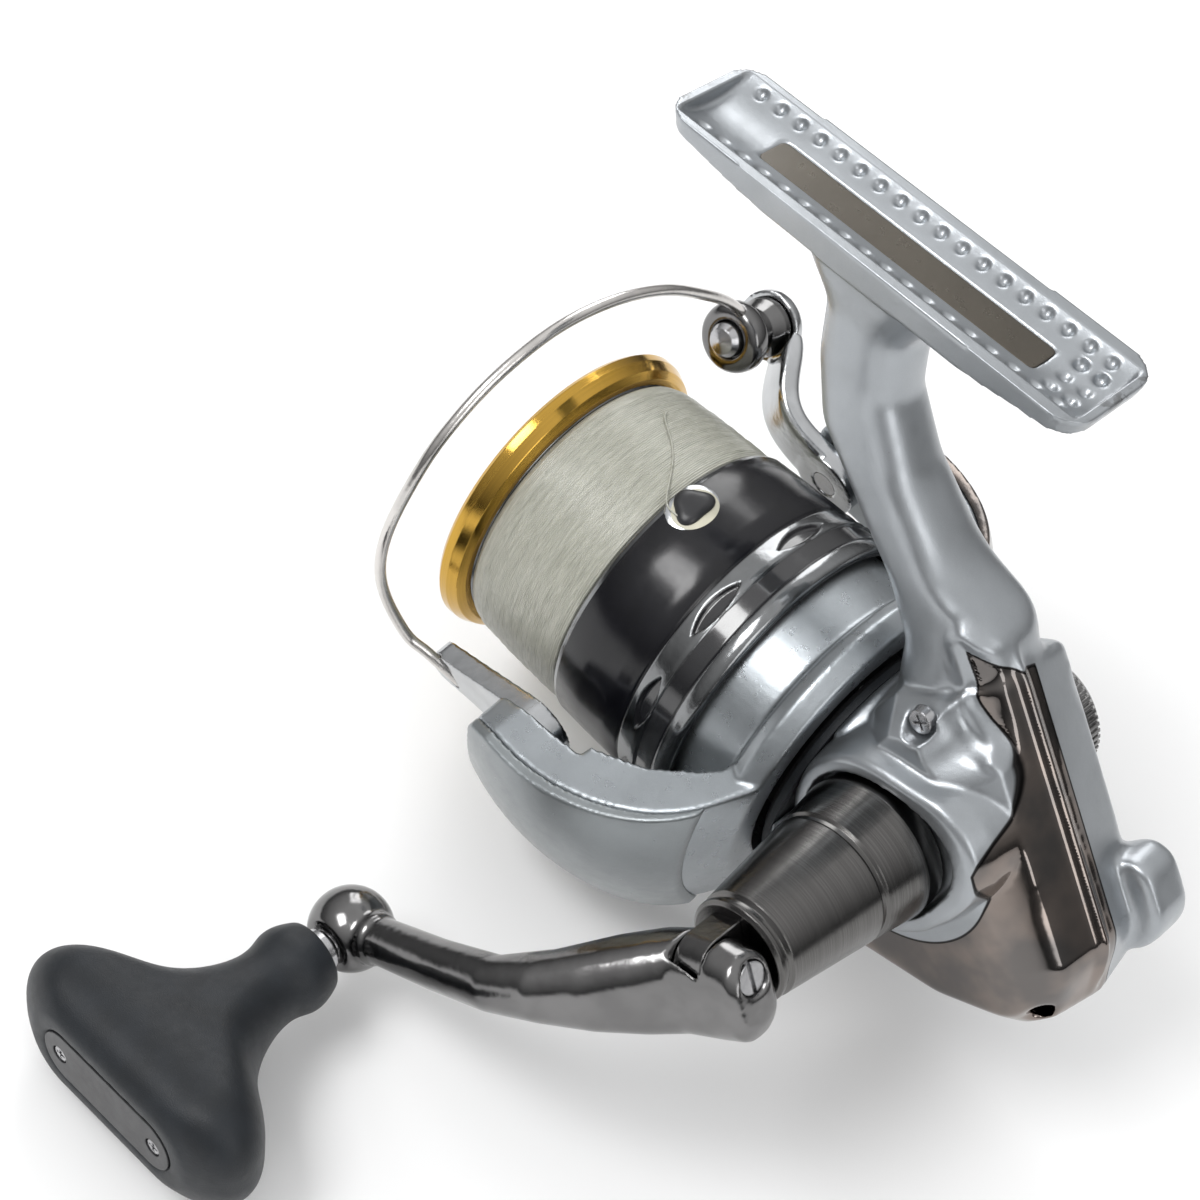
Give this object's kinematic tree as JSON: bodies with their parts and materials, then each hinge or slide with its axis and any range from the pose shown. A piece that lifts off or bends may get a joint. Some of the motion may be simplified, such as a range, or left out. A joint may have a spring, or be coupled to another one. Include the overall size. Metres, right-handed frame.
{
  "type": "spinning reel",
  "caption": "Front-drag spinning reel with a folding crank handle, flip-over bail, wound spool and a slotted-seat rod foot.",
  "frame": {"origin": "middle of the rod seat on the foot, on the plane of its flat lands", "axes": "+X forward along the rod towards the spool, +Y to the handle side, +Z out of the rod seat towards the rod"},
  "size_m": [0.1088, 0.1403, 0.1089],
  "materials": {
    "silver_paint": "satin metallic paint over aluminium",
    "plated": "dark bright plating",
    "steel": "turned and ground",
    "screws": "plated steel",
    "brass": "machined",
    "gear_metal": "cut teeth",
    "nameplate": "satin",
    "clutch_plastic": "moulded",
    "soft_rubber": "matt",
    "felt": "woven",
    "gold": "gold plated and polished",
    "spool_finish": "black gloss with bright bands",
    "line": "wound clear nylon",
    "clip_plastic": "moulded",
    "roller_finish": "hard plated",
    "drag_finish": "silvered plastic"
  },
  "bodies": {
    "frame": {"gear_frame": "silver_paint", "foot_plate": "nameplate", "rear_guard": "plated", "side_cover": "silver_paint", "cover_screw": "screws", "guard_screw": "screws", "side_cap": "plated", "drive_bearings": "steel", "pinion_bearing": "steel", "shaft_bushes": "brass", "guide_shaft": "steel", "clutch_case": "clutch_plastic", "clutch_screws": "screws", "clutch_rollers": "steel", "brake_ring": "soft_rubber"},
    "switch": {"reverse_switch": "clutch_plastic"},
    "crank": {"drive_gear": "gear_metal", "gear_shims": "steel", "handle_collar": "plated", "hinge_tongue": "plated"},
    "handle": {"handle_arm": "plated", "fold_screw": "screws", "knob_shaft": "steel", "shaft_screw": "screws"},
    "grip": {"knob": "soft_rubber", "knob_bearings": "steel", "knob_plate": "clip_plastic", "knob_screws": "screws"},
    "rotor": {"pinion": "brass", "rotor": "silver_paint", "left_arm_cover": "silver_paint", "right_arm_cover": "plated", "clutch_sleeve": "steel", "rotor_nut": "screws", "bail_spring": "steel", "spring_rod": "steel"},
    "bail": {"bail_lever": "gear_metal", "roller_lever": "plated", "lever_screws": "screws", "roller_bush": "brass", "roller_screw": "screws", "bail_wire": "steel"},
    "roller": {"line_roller": "roller_finish"},
    "worm": {"worm_gear": "gear_metal", "worm_shaft": "steel"},
    "spool_shaft": {"main_shaft": "steel", "slider": "gear_metal", "pawl": "brass", "spool_hub": "steel"},
    "spool": {"spool": "spool_finish", "spool_lip": "gold", "line_pack": "line", "line_clip": "clip_plastic", "spool_bearing": "steel", "drag_felts": "felt", "drag_plates": "steel", "drag_clip": "steel", "click_pawl": "steel"},
    "drag": {"drag_knob": "drag_finish", "knob_nut": "brass"}
  },
  "joints": [
    {"name": "crank_turn", "type": "hinge", "parent": "frame", "child": "crank", "pos_m": [-0.0341, 0, -0.069], "axis": [0, 1, 0], "continuous": true},
    {"name": "rotor_spin", "type": "hinge", "parent": "frame", "child": "rotor", "pos_m": [-0.0295, 0, -0.076], "axis": [1, 0, 0], "continuous": true},
    {"name": "worm_spin", "type": "hinge", "parent": "frame", "child": "worm", "pos_m": [-0.0295, 0, -0.0852], "axis": [1, 0, 0], "continuous": true},
    {"name": "shaft_stroke", "type": "slide", "parent": "frame", "child": "spool_shaft", "axis": [1, 0, 0], "range_m": [-0.0068, 0.009]},
    {"name": "spool_slip", "type": "hinge", "parent": "spool_shaft", "child": "spool", "pos_m": [-0.0295, 0, -0.076], "axis": [1, 0, 0], "continuous": true},
    {"name": "drag_turn", "type": "hinge", "parent": "spool_shaft", "child": "drag", "pos_m": [-0.0295, 0, -0.076], "axis": [1, 0, 0], "range_deg": [-180, 180]},
    {"name": "bail_flip", "type": "hinge", "parent": "rotor", "child": "bail", "pos_m": [0.0115, 0, -0.076], "axis": [0, 0.9659, -0.2588], "range_deg": [0, 110]},
    {"name": "roller_spin", "type": "hinge", "parent": "bail", "child": "roller", "pos_m": [0.0325, -0.02916, -0.05732], "axis": [0, 0.9659, 0.2588], "continuous": true},
    {"name": "handle_fold", "type": "hinge", "parent": "crank", "child": "handle", "pos_m": [-0.03326, 0.046, -0.06776], "axis": [0.829, 0, -0.5592], "range_deg": [0, 85]},
    {"name": "knob_spin", "type": "hinge", "parent": "handle", "child": "grip", "pos_m": [0.00901, 0, -0.09808], "axis": [0, 1, 0], "continuous": true},
    {"name": "switch_slide", "type": "slide", "parent": "frame", "child": "switch", "axis": [0.6684, 0, 0.7438], "range_m": [-0.0015, 0.0015]}
  ],
  "couplings": [
    {"joint": "rotor_spin", "follows": "crank_turn", "ratio": -6.2},
    {"joint": "worm_spin", "follows": "crank_turn", "ratio": 3.875}
  ]
}
